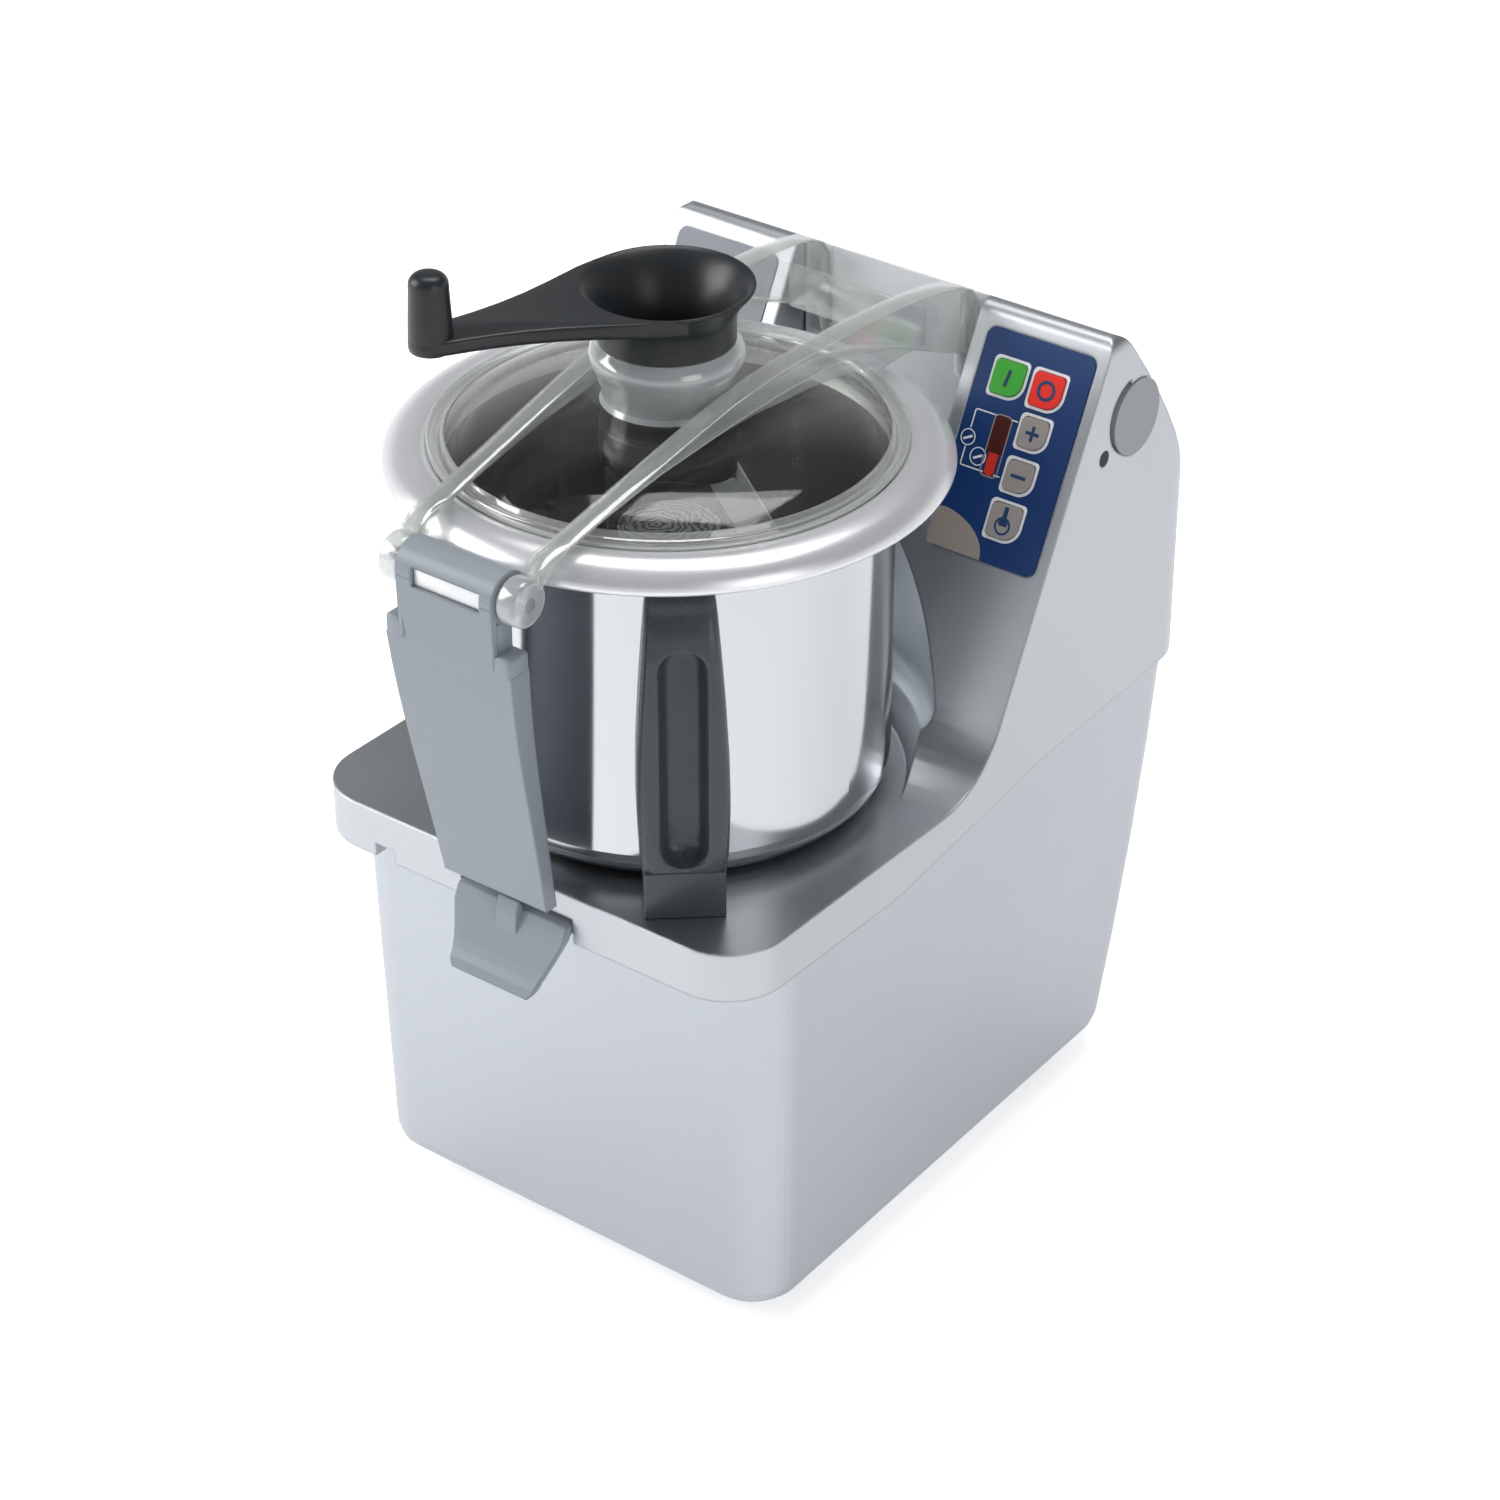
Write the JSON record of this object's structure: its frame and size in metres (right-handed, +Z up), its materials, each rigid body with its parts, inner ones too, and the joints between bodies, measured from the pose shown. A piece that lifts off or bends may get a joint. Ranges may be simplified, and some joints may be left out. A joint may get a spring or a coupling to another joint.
{
  "type": "vertical cutter mixer",
  "caption": "Bench-top vertical cutter mixer: polished cast housing with twin hinge towers, steel bowl, clear lid with crank scraper and funnel, grey front latch and sloped key panel.",
  "frame": {"origin": "centre of the footprint on the bench, under the middle of the overall box", "axes": "+X to the right seen from the front, +Y to the rear, +Z up"},
  "size_m": [0.259, 0.405, 0.511],
  "materials": {
    "cast_aluminium": "polished",
    "block_aluminium": "satin",
    "body_steel": "satin",
    "base_steel": "satin",
    "bowl_steel": "polished",
    "blade_steel": "satin",
    "screw_steel": "satin",
    "motor_iron": "painted",
    "winding_copper": "satin",
    "foot_rubber": "matte",
    "seal_rubber": "matte",
    "grey_plastic": "satin",
    "handle_plastic": "satin",
    "cap_plastic": "matte",
    "black_plastic": "satin",
    "deflector_plastic": "satin",
    "clear_plastic": "gloss",
    "board_green": "matte",
    "label_blue": "satin",
    "badge_grey": "satin",
    "bar_red": "satin",
    "key_green": "satin",
    "key_red": "satin",
    "key_beige": "satin"
  },
  "bodies": {
    "housing": {"top_casting": "cast_aluminium", "lower_body": "body_steel", "base_plate": "base_steel", "feet": "foot_rubber", "foot_screws": "screw_steel", "motor_housing": "motor_iron", "motor_screws": "screw_steel", "shaft_seal": "foot_rubber", "hinge_pin": "screw_steel", "hinge_caps": "cap_plastic", "side_plugs": "black_plastic", "control_board": "board_green", "key_switches": "black_plastic", "interlock_switch": "black_plastic", "control_label": "label_blue", "speed_bar": "bar_red", "tower_badge": "badge_grey", "cable_gland": "black_plastic", "tongue_pin": "screw_steel", "tongue_spring": "screw_steel", "bowl": "bowl_steel", "bowl_rim": "bowl_steel", "bowl_chimney": "bowl_steel", "bowl_handle": "handle_plastic", "handle_studs": "screw_steel"},
    "start_key": {"start_key": "key_green"},
    "stop_key": {"stop_key": "key_red"},
    "faster_key": {"faster_key": "key_beige"},
    "slower_key": {"slower_key": "key_beige"},
    "pulse_key": {"pulse_key": "key_beige"},
    "cutter": {"drive_shaft": "screw_steel", "motor_armature": "winding_copper", "cooling_fan": "black_plastic", "cutter_hub": "blade_steel", "lower_blade": "blade_steel", "upper_blade": "blade_steel"},
    "scraper": {"scraper_collar": "black_plastic", "wall_scraper": "black_plastic", "deflector": "deflector_plastic"},
    "lid": {"hinge_block": "block_aluminium", "lid": "clear_plastic", "lid_arms": "clear_plastic", "lid_seal": "seal_rubber", "latch_pin": "screw_steel"},
    "crank": {"crank_funnel": "black_plastic", "crank_knob": "black_plastic"},
    "latch": {"latch_plate": "grey_plastic"},
    "tongue": {"release_tongue": "grey_plastic"}
  },
  "joints": [
    {"name": "lid_hinge", "type": "hinge", "parent": "housing", "child": "lid", "pos_m": [0, 0.141, 0.379], "axis": [-1, 0, 0], "range_deg": [0, 85]},
    {"name": "latch_swing", "type": "hinge", "parent": "lid", "child": "latch", "pos_m": [0, -0.1905, 0.397], "axis": [-1, 0, 0], "range_deg": [0, 70]},
    {"name": "tongue_release", "type": "hinge", "parent": "housing", "child": "tongue", "pos_m": [0, -0.1495, 0.213], "axis": [-1, 0, 0], "range_deg": [0, 15], "stiffness_Nm_per_rad": 0.5, "springref_deg": -5.73},
    {"name": "cutter_spin", "type": "hinge", "parent": "housing", "child": "cutter", "pos_m": [0, -0.0485, 0.312], "axis": [0, 0, 1], "continuous": true},
    {"name": "scraper_turn", "type": "hinge", "parent": "housing", "child": "scraper", "pos_m": [0, -0.0485, 0.392], "axis": [0, 0, 1], "continuous": true},
    {"name": "crank_turn", "type": "hinge", "parent": "lid", "child": "crank", "pos_m": [0, -0.0485, 0.472], "axis": [0, 0, 1], "continuous": true},
    {"name": "start_key_press", "type": "slide", "parent": "housing", "child": "start_key", "axis": [0, 0.8918, -0.4524], "range_m": [0, 0.0008], "stiffness_N_per_m": 800, "springref_m": -0.0006},
    {"name": "stop_key_press", "type": "slide", "parent": "housing", "child": "stop_key", "axis": [0, 0.8918, -0.4524], "range_m": [0, 0.0008], "stiffness_N_per_m": 800, "springref_m": -0.0006},
    {"name": "faster_key_press", "type": "slide", "parent": "housing", "child": "faster_key", "axis": [0, 0.8918, -0.4524], "range_m": [0, 0.0008], "stiffness_N_per_m": 800, "springref_m": -0.0006},
    {"name": "slower_key_press", "type": "slide", "parent": "housing", "child": "slower_key", "axis": [0, 0.8918, -0.4524], "range_m": [0, 0.0008], "stiffness_N_per_m": 800, "springref_m": -0.0006},
    {"name": "pulse_key_press", "type": "slide", "parent": "housing", "child": "pulse_key", "axis": [0, 0.8918, -0.4524], "range_m": [0, 0.0008], "stiffness_N_per_m": 800, "springref_m": -0.0006}
  ],
  "couplings": [
    {"joint": "crank_turn", "follows": "scraper_turn", "ratio": 1}
  ]
}
